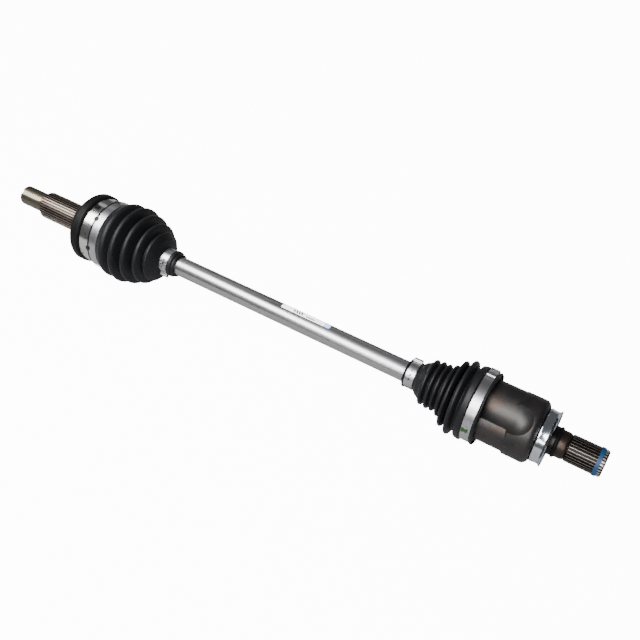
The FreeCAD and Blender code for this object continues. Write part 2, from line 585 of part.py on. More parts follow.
def build_tripod_housing():
    """The three-lobed housing, forged in one with the splined gearbox stub."""
    blank = lathe("tulip", [
        (S.housing_mouth_x, 0), (S.housing_mouth_x, S.housing_rad),
        (S.housing_chamfer_x, S.housing_rad, 7.5), (S.housing_end_x, S.housing_end_rad),
        (S.housing_end_x, S.journal_rad), (S.seal_ring_x - 0.1, S.journal_rad),
        (S.seal_ring_x - 0.1, S.seal_groove_rad), (S.seal_ring_stop_x + 0.1, S.seal_groove_rad),
        (S.seal_ring_stop_x + 0.1, S.second_journal_rad),
        (S.second_journal_stop_x, S.second_journal_rad, 6), (S.gear_spline_x, S.gear_spline_root_rad),
        (S.gear_spline_x + 1.3, S.gear_spline_rad), (S.clip_groove_x, S.gear_spline_rad),
        (S.clip_groove_x, S.clip_groove_rad), (S.clip_groove_x + S.clip_groove_width, S.clip_groove_rad),
        (S.clip_groove_x + S.clip_groove_width, S.gear_spline_rad),
        (S.stub_end_x - S.stub_chamfer, S.gear_spline_rad),
        (S.stub_end_x, S.gear_spline_rad - S.stub_chamfer), (S.stub_end_x, 0),
    ])
    cut_teeth(blank, "gear_spline", S.gear_spline_x, S.stub_end_x + 1, S.gear_spline_rad,
              S.gear_spline_root_rad, S.gear_gap_top, S.gear_gap_root, S.gear_spline_teeth)
    lie_along_x = FreeCAD.Rotation(FreeCAD.Vector(0, 1, 0), 90)
    lead = 2.0
    outside_length = S.lobe_stop_x - S.housing_mouth_x + lead
    outside = part("Cylinder", "outside_of_lobes", Radius=S.housing_rad + 5, Height=outside_length)
    at(outside, S.housing_mouth_x - lead, 0, 0, lie_along_x)
    kept = part("Cone", "lobe_runout", Radius1=S.runout_start_rad, Radius2=S.housing_rad + 1,
                Height=S.lobe_stop_x - S.runout_x)
    keeps = [at(kept, S.runout_x, 0, 0, lie_along_x)]
    valleys = []
    valley_from_axis = SIZES["valley_floor_rad"] + SIZES["valley_rad"]
    for i, turn in enumerate(TRUNNION_TURNS):
        lobe = part("Cylinder", f"lobe_{i + 1}", Radius=S.lobe_rad, Height=outside_length)
        keeps.append(at(lobe, S.housing_mouth_x - lead, *radial(turn, SIZES["lobe_offset"]), lie_along_x))
        bar = part("Cylinder", f"valley_bar_{i + 1}", Radius=S.valley_rad,
                   Height=S.valley_stop_x - S.housing_mouth_x + lead)
        at(bar, S.housing_mouth_x - lead, *radial(turn + 60, valley_from_axis), lie_along_x)
        doc.recompute()
        rounded = doc.addObject("Part::Fillet", f"valley_{i + 1}")
        rounded.Base = bar
        size = SIZES["valley_end_round"]
        rims = [j + 1 for j, edge in enumerate(bar.Shape.Edges)
                if abs(edge.BoundBox.XMin - SIZES["valley_stop_x"]) < 0.01]
        rounded.Edges = [(j, size, size) for j in rims]
        valleys.append(rounded)
    forged = cut("tulip_forged", blank, [cut("between_lobes", outside, keeps)] + valleys)
    bore = part("Cylinder", "tulip_bore", Radius=S.housing_bore_rad,
                Height=S.housing_floor_x - S.housing_mouth_x + lead)
    hollows = [at(bore, S.housing_mouth_x - lead, 0, 0, lie_along_x)]
    bevel = part("Cone", "mouth_bevel", Radius1=S.housing_bore_rad + S.mouth_bevel,
                 Radius2=S.housing_bore_rad, Height=S.mouth_bevel)
    hollows.append(at(bevel, S.housing_mouth_x, 0, 0, lie_along_x))
    for i, turn in enumerate(TRUNNION_TURNS):
        rotation = turned_about_x(turn)
        corner = rotation.multVec(FreeCAD.Vector(0, -SIZES["track_half_width"], 0))
        track = part("Box", f"roller_track_{i + 1}", Width=S.track_half_width * 2,
                     Height=S.track_top_rad, Length=S.housing_floor_x - S.housing_mouth_x + lead - 3)
        hollows.append(at(track, S.housing_mouth_x - lead, corner.y, corner.z, rotation))
    node("tripod_housing", cut("tulip_cut", forged, hollows))

    # The adapter fills the valleys under the boot, so that the clamp closes on a circle.
    puck = part("Cylinder", "adapter_puck", Radius=S.adapter_rad, Height=S.adapter_stop_x - S.adapter_x)
    at(puck, S.adapter_x, 0, 0, lie_along_x)
    node("boot_adapter", cut("adapter_cut", puck, [forged]))


def build_gearbox_stub_pieces():
    """The pressed dust shield, the seal ring, and the circlip under its protector band."""
    wall = S.shield_wall
    x, stop_x, outer = S.shield_x, S.shield_stop_x, S.shield_rad
    bend, waist, lip = S.shield_round, S.shield_waist_rad, S.shield_lip_rad
    hub_stop_x, hub = x + S.shield_hub_width, S.journal_rad + S.shield_hub_rise
    node("dust_shield", lathe("shield", [
        (x, S.journal_rad + S.bore_gap), (x, outer - bend, bend), (x + bend, outer),
        (x + bend * 2.6, waist), (stop_x - bend, waist), (stop_x, lip), (stop_x + wall * 0.5, lip - wall),
        (stop_x - bend + wall * 0.5, waist - wall), (x + bend * 2.4, waist - wall),
        (x + bend, outer - wall, (bend - wall) * -1), (x + wall, outer - bend),
        (x + wall, hub + 1), (hub_stop_x, hub), (hub_stop_x, S.journal_rad + S.bore_gap),
    ]))
    middle, half = (S.seal_ring_x + S.seal_ring_stop_x) * 0.5, (S.seal_ring_stop_x - S.seal_ring_x) * 0.5
    bottom = S.seal_groove_rad + S.bore_gap
    node("journal_seal_ring", lathe("seal_ring", [
        (middle - half, bottom), (middle - half, S.seal_ring_rad - half, half),
        (middle, S.seal_ring_rad, half), (middle + half, S.seal_ring_rad - half),
        (middle + half, bottom),
    ]))
    clip_centre_x = S.clip_groove_x + S.clip_groove_width * 0.5
    wire = part("Torus", "clip_wire", Radius1=S.clip_groove_rad + S.clip_wire_rad + 0.03,
                Radius2=S.clip_wire_rad)
    wire.Angle3 = 330
    along_x = FreeCAD.Rotation(FreeCAD.Vector(0, 1, 0), 90)
    node("stub_circlip", at(wire, clip_centre_x, 0, 0, along_x))
    inner = S.gear_spline_rad + 0.02
    node("circlip_protector", ring("protector", S.protector_x, S.protector_x + S.protector_width,
                                   inner, inner + S.protector_wall))


build_shaft()
build_label()
build_inner_race()
build_cage_and_balls()
build_race_and_stub()
build_dust_deflector()
build_outboard_boot()
build_inboard_boot()
build_clamps()
build_spider()
build_rollers()
build_tripod_housing()
build_gearbox_stub_pieces()
doc.recompute()

# --- Checks, then one STEP file for each piece -----------------------------------------------

faults = [f"{item.Name}: {item.State}" for item in doc.Objects
          if "Invalid" in item.State or "Error" in item.State]
for name, feature in nodes.items():
    if feature.Shape.isNull() or not feature.Shape.isValid() or not feature.Shape.Solids:
        faults.append(f"{name}: no valid solid")
if faults:
    raise RuntimeError("; ".join(faults))

os.makedirs("parts", exist_ok=True)
for name, feature in nodes.items():
    shape = feature.Shape
    shape.exportStep(f"parts/{name}.step")
    box = shape.BoundBox
    print(f"{name:24s} {len(shape.Solids):3d} solid(s) {shape.Volume / 1000:9.3f} cm3   "
          f"x {box.XMin:7.1f} to {box.XMax:7.1f}   r {max(-box.YMin, box.YMax, -box.ZMin, box.ZMax):5.1f}")
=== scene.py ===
# %% [markdown]
# # A car's CV axle
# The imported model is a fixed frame: every steel part already has its place. This script gives
# each of them a finish, and builds what CAD leaves plain: the two moulded boots, which must
# bend, and the strip clamps, whose pinched ears are bent from thin steel. Lengths are in
# metres, X runs along the axle towards the gearbox, and Z is up.

# %% Load the frame
import json
import math

import bmesh
import bpy
import numpy as np
from mathutils import Matrix, Vector

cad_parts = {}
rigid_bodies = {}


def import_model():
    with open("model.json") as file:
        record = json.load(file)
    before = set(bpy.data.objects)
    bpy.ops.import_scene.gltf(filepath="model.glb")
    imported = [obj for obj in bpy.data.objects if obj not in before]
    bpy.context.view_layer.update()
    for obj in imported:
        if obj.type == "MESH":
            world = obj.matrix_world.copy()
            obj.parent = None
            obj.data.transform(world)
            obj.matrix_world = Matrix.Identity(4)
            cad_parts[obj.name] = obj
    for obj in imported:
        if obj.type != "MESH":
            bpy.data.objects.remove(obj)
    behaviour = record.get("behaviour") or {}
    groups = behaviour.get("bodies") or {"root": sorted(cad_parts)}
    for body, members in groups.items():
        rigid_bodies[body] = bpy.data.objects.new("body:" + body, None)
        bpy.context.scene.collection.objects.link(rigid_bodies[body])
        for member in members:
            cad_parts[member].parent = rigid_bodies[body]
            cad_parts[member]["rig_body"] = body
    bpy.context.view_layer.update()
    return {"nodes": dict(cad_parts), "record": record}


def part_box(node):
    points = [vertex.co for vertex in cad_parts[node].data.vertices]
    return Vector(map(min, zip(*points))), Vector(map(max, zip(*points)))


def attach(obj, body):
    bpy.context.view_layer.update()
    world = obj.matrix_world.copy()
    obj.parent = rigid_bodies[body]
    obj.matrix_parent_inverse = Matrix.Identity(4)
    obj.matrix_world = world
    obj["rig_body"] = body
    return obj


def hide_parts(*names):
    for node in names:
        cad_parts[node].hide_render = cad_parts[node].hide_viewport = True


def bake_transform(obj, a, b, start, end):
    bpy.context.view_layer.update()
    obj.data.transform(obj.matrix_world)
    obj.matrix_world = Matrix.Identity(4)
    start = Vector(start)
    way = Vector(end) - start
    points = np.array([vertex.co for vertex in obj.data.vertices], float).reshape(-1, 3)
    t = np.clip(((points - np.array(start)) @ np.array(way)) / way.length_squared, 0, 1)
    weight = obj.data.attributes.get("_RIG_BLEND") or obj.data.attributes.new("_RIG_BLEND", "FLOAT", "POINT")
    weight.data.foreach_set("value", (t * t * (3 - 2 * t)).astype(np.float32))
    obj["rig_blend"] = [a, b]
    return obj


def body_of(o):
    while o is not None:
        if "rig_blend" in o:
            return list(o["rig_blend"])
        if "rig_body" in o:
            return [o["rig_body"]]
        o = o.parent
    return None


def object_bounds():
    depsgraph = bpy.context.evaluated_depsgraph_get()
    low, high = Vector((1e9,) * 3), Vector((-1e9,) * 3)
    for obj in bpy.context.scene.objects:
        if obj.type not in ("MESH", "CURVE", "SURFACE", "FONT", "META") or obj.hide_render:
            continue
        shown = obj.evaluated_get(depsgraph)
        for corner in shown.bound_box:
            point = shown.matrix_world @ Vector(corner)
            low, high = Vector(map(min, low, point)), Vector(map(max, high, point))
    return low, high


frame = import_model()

MM = 0.001
nodes = frame["nodes"]

# %% [markdown]
# ## Places that the frame gives
# A boot has to start on its race and end on the bar, so its stations are read from the CAD
# pieces that it covers instead of being typed again.

# %% Stations along the axle, in millimetres
def span(node):
    """The first and last x of a CAD node, and its largest radius, in millimetres."""
    low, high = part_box(node)
    return low.x / MM, high.x / MM, max(-low.y, high.y, -low.z, high.z) / MM


BAR_RADIUS = (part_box("axle_shaft")[1].z) / MM
out_boot_x, out_neck_x, out_boot_radius = span("outboard_boot")
in_neck_x, in_boot_x, _ = span("inboard_boot")
out_clamp_x, out_clamp_stop_x, _ = span("outboard_large_clamp")
out_small_x, out_small_stop_x, _ = span("outboard_small_clamp")
in_small_x, in_small_stop_x, _ = span("inboard_small_clamp")
in_clamp_x, in_clamp_stop_x, _ = span("inboard_large_clamp")
print("boots", round(out_boot_x, 1), round(out_neck_x, 1), round(in_neck_x, 1), round(in_boot_x, 1))

# %% [markdown]
# ## Camera, floor and light
# The camera looks down from above and in front, with a fairly long lens, on a white table.
# Bright metal shows what stands around it, so the table and one wide soft light are what make
# the bar's broad highlight, and the darker room between them draws its edges.

# %% Camera
AXLE_AIM = Vector((0.326, 0.0, 0.0))
AZIMUTH, ELEVATION = math.radians(31.5), math.radians(48.8)
DISTANCE, SIDE_STEP, LIFT = 0.862, 0.0024, 0.0111
right = Vector((math.cos(AZIMUTH), math.sin(AZIMUTH), 0.0))
back = Vector((math.sin(AZIMUTH) * math.cos(ELEVATION), -math.cos(AZIMUTH) * math.cos(ELEVATION),
               math.sin(ELEVATION)))
up = back.cross(right)
camera_data = bpy.data.cameras.new("camera")
camera_data.lens, camera_data.sensor_width = 45.0, 36.0
camera = bpy.data.objects.new("camera", camera_data)
place = AXLE_AIM + back * DISTANCE + right * SIDE_STEP + up * LIFT
camera.matrix_world = Matrix.Translation(place) @ Matrix((right, up, back)).transposed().to_4x4()
bpy.context.scene.collection.objects.link(camera)
bpy.context.scene.camera = camera
print("camera at", [round(v, 3) for v in place])

# %% Floor and lights
def soft_light(name, position, target, width, height, power):
    """A rectangular lamp that faces its target."""
    lamp = bpy.data.lights.new(name, "AREA")
    lamp.shape = "RECTANGLE"
    lamp.size, lamp.size_y, lamp.energy = width, height, power
    obj = bpy.data.objects.new(name, lamp)
    obj.matrix_world = (Matrix.Translation(position)
                        @ (Vector(target) - Vector(position)).to_track_quat("-Z", "Y").to_matrix().to_4x4())
    bpy.context.scene.collection.objects.link(obj)
    return obj


def mesh_object(name, points, faces, smooth=True):
    """A mesh whose points are given in millimetres in the axle's own frame."""
    mesh = bpy.data.meshes.new(name)
    mesh.from_pydata([tuple(float(v) * MM for v in point) for point in points], [],
                     [[int(corner) for corner in face] for face in faces])
    mesh.validate()
    mesh.shade_smooth() if smooth else mesh.shade_flat()
    obj = bpy.data.objects.new(name, mesh)
    bpy.context.scene.collection.objects.link(obj)
    return obj


FLOOR_Z = min(-out_boot_radius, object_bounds()[0][2] / MM) - 0.2
HALF_FLOOR = 4000
floor = mesh_object("floor", [(-HALF_FLOOR, -HALF_FLOOR, FLOOR_Z), (HALF_FLOOR, -HALF_FLOOR, FLOOR_Z),
                              (HALF_FLOOR, HALF_FLOOR, FLOOR_Z), (-HALF_FLOOR, HALF_FLOOR, FLOOR_Z)],
                    [(0, 1, 2, 3)], smooth=False)
middle = (0.28, 0.0, 0.0)
soft_light("overhead", (-0.20, -0.64, 1.21), (0.2, 0.0, 0.0), 2.0, 0.80, 66)
soft_light("front_strip", (0.75, -1.25, 0.65), middle, 1.3, 0.22, 8)
soft_light("rear_strip", (-0.25, 1.10, 0.75), middle, 1.4, 0.25, 0.6)
world = bpy.data.worlds.new("room")
world.use_nodes = True
world.node_tree.nodes["Background"].inputs["Color"].default_value = (0.92, 0.95, 1.0, 1.0)
world.node_tree.nodes["Background"].inputs["Strength"].default_value = 0.11
bpy.context.scene.world = world
print("lights", sorted(light.name for light in bpy.data.lights))

# %% [markdown]
# ## A small language for finishes
# A finish is a network of nodes. Written out link by link it is hard to read, so a `Wire`
# stands for one socket and knows arithmetic, and a `Finish` adds every other kind of node
# through one method.

# %% Wire and Finish
class Wire:
    """One output socket of a finish, with arithmetic."""

    def __init__(self, finish, socket):
        self.finish, self.socket = finish, socket

    def _maths(self, operation, *terms):
        return self.finish.node("Math", {"operation": operation}, dict(enumerate(terms)))

    def __add__(self, other):
        return self._maths("ADD", self, other)

    def __radd__(self, other):
        return self._maths("ADD", other, self)

    def __sub__(self, other):
        return self._maths("SUBTRACT", self, other)

    def __rsub__(self, other):
        return self._maths("SUBTRACT", other, self)

    def __mul__(self, other):
        return self._maths("MULTIPLY", self, other)

    def __rmul__(self, other):
        return self._maths("MULTIPLY", other, self)

    def __truediv__(self, other):
        return self._maths("DIVIDE", self, other)

    def __gt__(self, other):
        return self._maths("GREATER_THAN", self, other)

    def __lt__(self, other):
        return self._maths("LESS_THAN", self, other)

    def sqrt(self):
        return self._maths("SQRT", self)

    def sine(self):
        return self._maths("SINE", self)

    def fraction(self):
        return self._maths("FRACT", self)

    def absolute(self):
        return self._maths("ABSOLUTE", self)

    def arctan2(self, other):
        return self._maths("ARCTAN2", self, other)

    def maximum(self, other):
        return self._maths("MAXIMUM", self, other)

    def rises(self, start, stop):
        """0 before start and 1 after stop, with a soft step between them."""
        return self.finish.node("MapRange", {"interpolation_type": "SMOOTHSTEP"},
                                {"Value": self, "From Min": start, "From Max": stop})

    def between(self, start, stop, soft):
        """1 between two values, and 0 outside them."""
        return self.rises(start - soft, start + soft) * (1 - self.rises(stop - soft, stop + soft))


class Finish:
    """A material under construction; its shader is a Principled BSDF."""

    def __init__(self, name, **constants):
        self.material = bpy.data.materials.new(name)
        self.material.use_nodes = True
        self.tree = self.material.node_tree
        self.shader = self.tree.nodes["Principled BSDF"]
        for socket, value in constants.items():
            self.shader.inputs[socket.replace("_", " ")].default_value = value

    def node(self, kind, settings=None, sockets=None, output=0):
        """Adds a node: its settings first, then the values or wires of its sockets."""
        node = self.tree.nodes.new("ShaderNode" + kind)
        for key, value in (settings or {}).items():
            if key == "stops":
                while len(node.color_ramp.elements) < len(value):
                    node.color_ramp.elements.new(0.5)
                for stop, (position, colour) in zip(node.color_ramp.elements, value):
                    stop.position, stop.color = position, (*colour, 1.0)
            else:
                setattr(node, key, value)
        for key, value in (sockets or {}).items():
            self.feed(node.inputs[key], value)
        return Wire(self, node.outputs[output])

    def feed(self, socket, value):
        if isinstance(value, Wire):
            self.tree.links.new(value.socket, socket)
        else:
            socket.default_value = value

    def set(self, **sockets):
        """Feeds the shader's sockets; a space in a socket's name is written as _."""
        for socket, value in sockets.items():
            self.feed(self.shader.inputs[socket.replace("_", " ")], value)
        return self

    def axes(self):
        """x, y, z and the distance from the axle's axis, in millimetres."""
        here = self.node("TexCoord", output="Object")
        split = self.tree.nodes.new("ShaderNodeSeparateXYZ")
        self.tree.links.new(here.socket, split.inputs[0])
        x, y, z = (Wire(self, socket) * 1000 for socket in split.outputs)
        return x, y, z, (y * y + z * z).sqrt()

    def vector(self, x, y, z):
        return self.node("CombineXYZ", sockets={0: x, 1: y, 2: z})

    def noise(self, vector, scale, detail=4.0, roughness=0.5):
        return self.node("TexNoise", sockets={"Vector": vector, "Scale": scale, "Detail": detail,
                                              "Roughness": roughness})

    def ramp(self, value, stops):
        return self.node("ValToRGB", {"stops": stops}, {0: value})

    def mix(self, share, first, second):
        """Blends two colours; a plain tuple is a colour."""
        first, second = ((*c, 1.0) if isinstance(c, tuple) else c for c in (first, second))
        node = self.tree.nodes.new("ShaderNodeMix")
        node.data_type = "RGBA"
        for socket, value in ((node.inputs[0], share), (node.inputs[6], first), (node.inputs[7], second)):
            self.feed(socket, value)
        return Wire(self, node.outputs[2])

    def bump(self, height, distance, strength=1.0):
        """Turns a height (0 to 1) into the shader's normal; distance is in millimetres."""
        normal = self.node("Bump", sockets={"Height": height, "Distance": distance * MM,
                                            "Strength": strength})
        return self.set(Normal=normal)


def wear(obj, finish):
    """Puts one finish on every slot of a piece."""
    obj.data.materials.clear()
    obj.data.materials.append(finish.material)
    return obj


print("helpers: Wire does the maths of a finish, Finish holds its tree")

# %% [markdown]
# ## Smooth copies of the CAD pieces
# A CAD piece comes as loose triangles, which mirror the room in flat facets. Its points are
# merged in a copy, which is shaded smooth up to its real edges and stands for the piece.

# %% Smooth a CAD piece
slots = {part["node"]: part["material_slot"] for part in frame["record"]["subparts"]}


def smooth_copy(name, finish, sharp_degrees=33):
    """Stands for one CAD piece, on the same body and in the same place."""
    work = bmesh.new()
    work.from_mesh(nodes[name].data)
    bmesh.ops.remove_doubles(work, verts=work.verts[:], dist=0.002 * MM)
    work.verts.index_update()
    copy = mesh_object(name + "_smooth", [point.co / MM for point in work.verts],
                       [[point.index for point in face.verts] for face in work.faces])
    work.free()
    copy.data.set_sharp_from_angle(angle=math.radians(sharp_degrees))
    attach(wear(copy, finish), body_of(nodes[name])[0])
    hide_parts(name)
    return copy


print("helper: a CAD piece with a finish and smooth shading")

# %% [markdown]
# ## The floor's finish
# The ground is plain white without a shadow, as on a light table. Only the camera
# sees it shine: to the steel it stays a mid-grey table, so that the dark parts stay dark.

# %% Floor finish
table = Finish("light_table", Roughness=0.85, Emission_Strength=13.0)
grain = table.noise(table.node("TexCoord", output="Object"), 6.0)
seen = table.node("LightPath", output="Is Camera Ray")
table.set(Base_Color=table.mix(grain, (0.25, 0.25, 0.26), (0.28, 0.28, 0.29)),
          Emission_Color=table.mix(seen, (0.0, 0.0, 0.0), (1.0, 1.0, 1.0)))
wear(floor, table)
print("finish: floor")

# %% [markdown]
# ## Turned and ground steel
# The bar is bare steel, ground in a lathe: a tight broad highlight, and hair-fine rings that
# only roughen it. The rings depend on x alone, so a noise that is squeezed along x and
# stretched round the bar makes them.

# %% Bar finish
def lathe_rings(finish, x, y, z, pitch=0.22, drift=0.02):
    """Fine uneven rings round the axis, as a turned or ground surface has."""
    return finish.noise(finish.vector(x / pitch, y * drift, z * drift), 1.0, detail=3.0)


def bar_steel():
    finish = Finish("bar_steel", Metallic=1.0, Anisotropic=0.3)
    x, y, z, _ = finish.axes()
    rings = lathe_rings(finish, x, y, z)
    clouds = finish.noise(finish.vector(x * 0.02, y * 0.06, z * 0.06), 1.0)
    colour = finish.mix(rings, (0.50, 0.485, 0.49), (0.60, 0.585, 0.59))
    colour = finish.mix(clouds * 0.5, colour, (0.38, 0.375, 0.39))
    finish.set(Base_Color=colour, Roughness=0.25 + rings * 0.05 + clouds * 0.07)
    return finish.bump(rings, 0.006)


bar = smooth_copy("axle_shaft", bar_steel())
print("bar", len(bar.data.polygons), "faces")


# %% [markdown]
# ## The race and wheel stub
# One forging, but several finishes: an olive-brown thread with painted highlights on its crests
# and a slot whose floor is painted pale as a highlight, with painted lit ridges, a brown spline
# whose lands are rubbed, a dark neck, and a race ground to a mirror with dark patches on it,
# partly stains and partly painted reflection of the dark room. Masks along x, from the axis and
# across the slot separate them.

# %% Race and stub finish
LAND_RADIUS = 16.5
HUB_SPLINE_START_X, HUB_SPLINE_STOP_X = -66, -14
BAND_START_X, BAND_FULL_X = 14, 18
RIDGE_HIGHLIGHT_PITCH = 3.1
SLOT_TURN, SLOT_HALF_WIDTH, SLOT_END_X = math.radians(28), 2.9, -70.4


def race_steel():
    finish = Finish("race_steel")
    x, y, z, radius = finish.axes()
    rings = lathe_rings(finish, x, y, z, pitch=0.35)
    patches = finish.noise(finish.vector(x * 0.06, y * 0.10, z * 0.10), 1.0)
    # Partly real, partly painted: these dark patches stand both for stains and for painted reflection of the
    # dark room.
    stains_and_dark_reflection = finish.noise(finish.vector(x * 0.10, y * 0.07, z * 0.07), 1.0, detail=6.0)
    on_thread = 1 - x.rises(-70.8, -69.8)
    on_band = x.rises(BAND_START_X, BAND_FULL_X)
    across_slot = (y * math.cos(SLOT_TURN) + z * math.sin(SLOT_TURN)).absolute()
    slot_face = z * math.cos(SLOT_TURN) - y * math.sin(SLOT_TURN) > 5
    in_slot = (across_slot < SLOT_HALF_WIDTH) * slot_face * on_thread * (1 - radius.rises(9.4, 10.0))
    slot_rim = x.between(SLOT_END_X - 2.6, SLOT_END_X + 1.2, 0.4) * (across_slot < 4.0) * slot_face
    # Painted highlight: pale stripes across the slot floor stand for the lit thread ridges.
    painted_ridge_highlight = (x * (math.tau / RIDGE_HIGHLIGHT_PITCH)).sine() * 0.5 + 0.5
    # Painted highlight: the thread's crests are coloured lighter than its roots.
    painted_crest_highlight = radius.rises(11.2, 11.9)
    on_spline = x.between(HUB_SPLINE_START_X, HUB_SPLINE_STOP_X, 1.0)
    land = radius.rises(LAND_RADIUS, LAND_RADIUS + 0.2) * on_spline
    thread = finish.mix(painted_crest_highlight, (0.045, 0.041, 0.028), (0.17, 0.155, 0.115))
    # Painted highlight: the slot floor is coloured pale cream, with the striped ridges, so that it looks lit.
    pale = finish.mix(painted_ridge_highlight, (0.26, 0.21, 0.12), (0.88, 0.82, 0.64))
    thread = finish.mix(in_slot, thread, pale)
    thread = finish.mix(slot_rim * 0.9, thread, (0.28, 0.09, 0.02))
    gaps = finish.mix(patches, (0.030, 0.022, 0.018), (0.085, 0.062, 0.050))
    spline = finish.mix(land, gaps, finish.mix(patches, (0.13, 0.105, 0.09), (0.36, 0.31, 0.28)))
    band = finish.mix(patches, (0.66, 0.64, 0.60), (0.80, 0.78, 0.74))
    # Dark patches on the mirror band: partly stains, partly painted reflection of the dark room.
    band = finish.mix(stains_and_dark_reflection.rises(0.56, 0.66) * 0.85, band, (0.07, 0.065, 0.06))
    stub = finish.mix(x.rises(-14.5, -12.5), spline, (0.10, 0.10, 0.105))
    stub = finish.mix(on_thread, stub, thread)
    finish.set(Base_Color=finish.mix(on_band, stub, band), Metallic=1 - in_slot * 0.75,
               Roughness=0.34 - on_band * 0.20 + rings * 0.05 + in_slot * 0.15)
    return finish.bump(rings, 0.006)


smooth_copy("outboard_race_stub", race_steel(), 24)
print("finish: race and stub")

# %% [markdown]
# ## The tripod housing and gearbox stub
# The housing is left as forged: dark phosphate with brown tints, finely pitted. Its journals
# are turned, and its spline is dark, with a thin painted highlight line along each land.

# %% Housing finish
STUB_X = 578.5
GEAR_LAND_RADIUS = 13.78
GEAR_TEETH = 28
GEAR_SPLINE_X, TIP_X = 606.0, 639.0


def housing_steel():
    finish = Finish("housing_steel", Metallic=0.85)
    x, y, z, radius = finish.axes()
    here = finish.vector(x, y, z)
    tint = finish.noise(here, 0.055, detail=3.0)
    pits = finish.noise(here, 1.6, detail=5.0, roughness=0.65)
    rings = lathe_rings(finish, x, y, z, pitch=0.3)
    on_stub = x.rises(STUB_X, STUB_X + 1)
    on_spline = x.rises(GEAR_SPLINE_X, GEAR_SPLINE_X + 1.5)
    land = radius.rises(GEAR_LAND_RADIUS, GEAR_LAND_RADIUS + 0.15) * on_spline
    forged = finish.ramp(tint, [(0.36, (0.048, 0.046, 0.047)), (0.52, (0.066, 0.061, 0.060)),
                                (0.66, (0.074, 0.056, 0.046))])
    forged = finish.mix(pits * 0.5, forged, (0.026, 0.025, 0.025))
    journal = finish.mix(x.between(599, 607, 0.8), (0.026, 0.024, 0.023), (0.052, 0.036, 0.030))
    # Painted highlight: a thin bright line along the middle of each land stands for a glint.
    painted_glint_line = ((y.arctan2(z) * (GEAR_TEETH / math.tau) + 100).fraction() - 0.5).absolute() < 0.06
    tooth = finish.mix(painted_glint_line, (0.022, 0.018, 0.016), (0.32, 0.28, 0.25))
    spline = finish.mix(land, (0.014, 0.011, 0.010), tooth)
    bright = finish.mix(land, (0.05, 0.042, 0.038), (0.50, 0.46, 0.41))
    tip = finish.mix(x.rises(TIP_X, TIP_X + 0.6), spline, bright)
    stub = finish.mix(on_spline, journal, tip)
    finish.set(Base_Color=finish.mix(on_stub, forged, stub),
               Roughness=0.38 - on_stub * 0.06 + pits * 0.10)
    return finish.bump(pits * (1 - on_stub) + rings * on_stub * 0.2, 0.03)


smooth_copy("tripod_housing", housing_steel(), 26)
print("finish: housing")

# %% [markdown]
# ## Plated and stamped pieces
# The dust shield is pressed from sheet and bright zinc plated, so it mirrors the room with a
# cold tint. The clamps are stainless strip with lengthwise rolling marks.

# %% Shield and clamp finishes
def zinc():
    finish = Finish("zinc", Metallic=1.0)
    x, y, z, _ = finish.axes()
    stain = finish.noise(finish.vector(x * 0.08, y * 0.12, z * 0.12), 1.0)
    finish.set(Base_Color=finish.mix(stain, (0.66, 0.71, 0.76), (0.82, 0.86, 0.90)),
               Roughness=0.12 + stain * 0.08)
    return finish.bump(finish.noise(finish.vector(x, y, z), 0.3), 0.04)


def strip_steel():
    """Two of the clamps carry a dab of green paint, a check mark from the assembly line."""
    finish = Finish("strip_steel")
    x, y, z, _ = finish.axes()
    rolling = finish.noise(finish.vector(x / 0.16, y * 0.05, z * 0.05), 1.0, detail=2.0)
    clouds = finish.noise(finish.vector(x * 0.1, y * 0.08, z * 0.08), 1.0)
    ragged = finish.noise(finish.vector(x * 0.4, y * 0.4, z * 0.4), 1.0, detail=3.0) * 10 - 5
    turn = (0 - y).arctan2(z) * (180 / math.pi) + ragged
    neck_dab = turn.between(98, 118, 2) * x.between(437, 446, 1)
    large_dab = turn.between(79, 88, 1.5) * x.between(511, 519, 1)
    paint = neck_dab + large_dab
    steel = finish.mix(clouds, (0.48, 0.48, 0.49), (0.62, 0.61, 0.63))
    finish.set(Base_Color=finish.mix(paint, steel, (0.016, 0.055, 0.012)), Metallic=1 - paint,
               Roughness=0.24 + rolling * 0.12 + paint * 0.2)
    return finish.bump(rolling, 0.008)


smooth_copy("dust_shield", zinc(), 40)
STRIP = strip_steel()
print("finishes: shield and clamps")

# %% [markdown]
# ## Rubber and plastic
# The boots are moulded thermoplastic: nearly black, with a soft grey sheen at grazing angles
# and a fine spark-eroded texture. The ring behind the race is a plainer black.

# %% Boot, ring and band finishes
def boot_rubber(name, colour, roughness, shine):
    finish = Finish(name, Sheen_Weight=0.02, Sheen_Roughness=0.45, Specular_IOR_Level=shine)
    x, y, z, _ = finish.axes()
    here = finish.vector(x, y, z)
    texture = finish.noise(here, 3.2, detail=3.0)
    handling = finish.noise(here, 0.05, detail=4.0)
    pale = tuple(channel + 0.005 for channel in colour)
    finish.set(Base_Color=finish.mix(handling, colour, pale),
               Roughness=roughness + handling * 0.12)
    return finish.bump(texture, 0.02)


def plain_plastic(name, colour, roughness):
    finish = Finish(name)
    x, y, z, _ = finish.axes()
    mottle = finish.noise(finish.vector(x, y, z), 0.8)
    finish.set(Base_Color=finish.mix(mottle, colour, tuple(c * 1.15 for c in colour)),
               Roughness=roughness + mottle * 0.1)
    return finish.bump(mottle, 0.02)


BOOT = boot_rubber("boot_rubber", (0.0034, 0.0034, 0.0045), 0.40, 0.26)
RING = boot_rubber("ring_rubber", (0.0018, 0.0018, 0.0018), 0.42, 0.12)
smooth_copy("dust_deflector", RING, 40)
smooth_copy("journal_seal_ring", RING)
smooth_copy("boot_adapter", plain_plastic("adapter_plastic", (0.02, 0.02, 0.02), 0.5))
smooth_copy("circlip_protector", plain_plastic("band_plastic", (0.001, 0.036, 0.105), 0.46))
print("finishes: boots, rings and bands")

# %% [markdown]
# ## Inner pieces
# Balls, cage, rollers and rings are hardened and ground; circlips are dark spring steel. They
# show when the joints are opened, so they get a real finish too.

